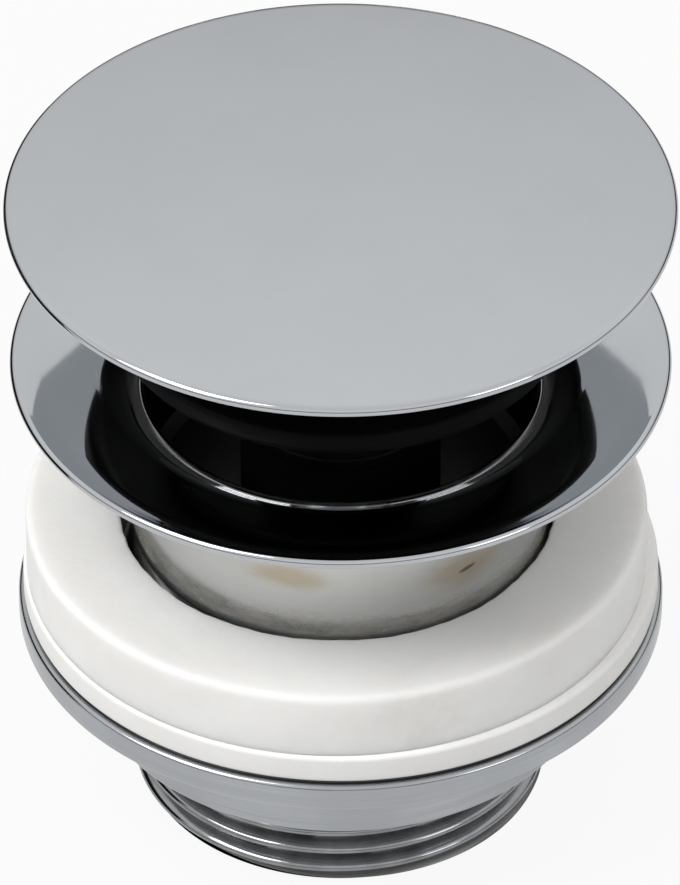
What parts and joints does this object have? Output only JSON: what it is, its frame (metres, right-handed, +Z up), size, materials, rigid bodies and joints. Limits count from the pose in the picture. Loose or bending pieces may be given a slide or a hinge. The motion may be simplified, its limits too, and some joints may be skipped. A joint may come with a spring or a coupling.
{
  "type": "pop up basin waste",
  "caption": "Push-open basin waste with a raised domed plug over a dished flange, threaded tail, soft and firm washers and flanged backnut.",
  "frame": {"origin": "on the axis at the lower end of the tail, where the part stands", "axes": "+Z up the axis from the tail to the cap; X and Y across the flange"},
  "size_m": [0.0664, 0.0664, 0.072],
  "materials": {
    "chrome": "polished chrome plate on brass",
    "brass": "plain turned brass",
    "steel": "bright stainless steel",
    "spring_steel": "drawn spring wire",
    "black_rubber": "smooth moulded rubber",
    "black_plastic": "fine moulded plastic",
    "pale_plastic": "natural moulded plastic",
    "white_washer": "soft foamed plastic with a satin skin",
    "white_plastic": "firm moulded plastic",
    "grey_plastic": "thin smooth sheet"
  },
  "bodies": {
    "waste_body": {"body": "chrome", "flange_seal": "black_rubber", "cartridge_housing": "black_plastic", "guide_bush": "black_plastic", "bush_seal": "black_rubber", "housing_gasket": "black_rubber", "lock_washer": "steel", "housing_locknut": "brass", "end_plug": "brass", "return_spring": "spring_steel"},
    "plug": {"cap": "chrome", "plug_carrier": "black_plastic", "cap_seal": "black_rubber", "seal_plate": "black_plastic", "jam_nut": "black_plastic", "stem": "steel", "plunger_head": "pale_plastic", "ratchet_rotor": "pale_plastic", "stem_clip": "spring_steel"},
    "washers": {"sealing_washer": "white_washer", "backing_washer": "white_plastic", "slip_ring": "grey_plastic"},
    "nut": {"backnut": "chrome"}
  },
  "joints": [
    {"name": "plug_slide", "type": "slide", "parent": "waste_body", "child": "plug", "axis": [0, 0, 1], "range_m": [-0.0066, 0], "stiffness_N_per_m": 1700, "springref_m": 0.004, "deforming": ["return_spring"]},
    {"name": "washer_slide", "type": "slide", "parent": "waste_body", "child": "washers", "axis": [0, 0, 1], "range_m": [-0.00693, 0.0104]},
    {"name": "nut_turn", "type": "hinge", "parent": "washers", "child": "nut", "pos_m": [0, 0, 0.0193], "axis": [0, 0, 1], "range_deg": [-1080, 1620]}
  ],
  "couplings": [
    {"joint": "washer_slide", "follows": "nut_turn", "m_per_rad": 0.00036749}
  ]
}
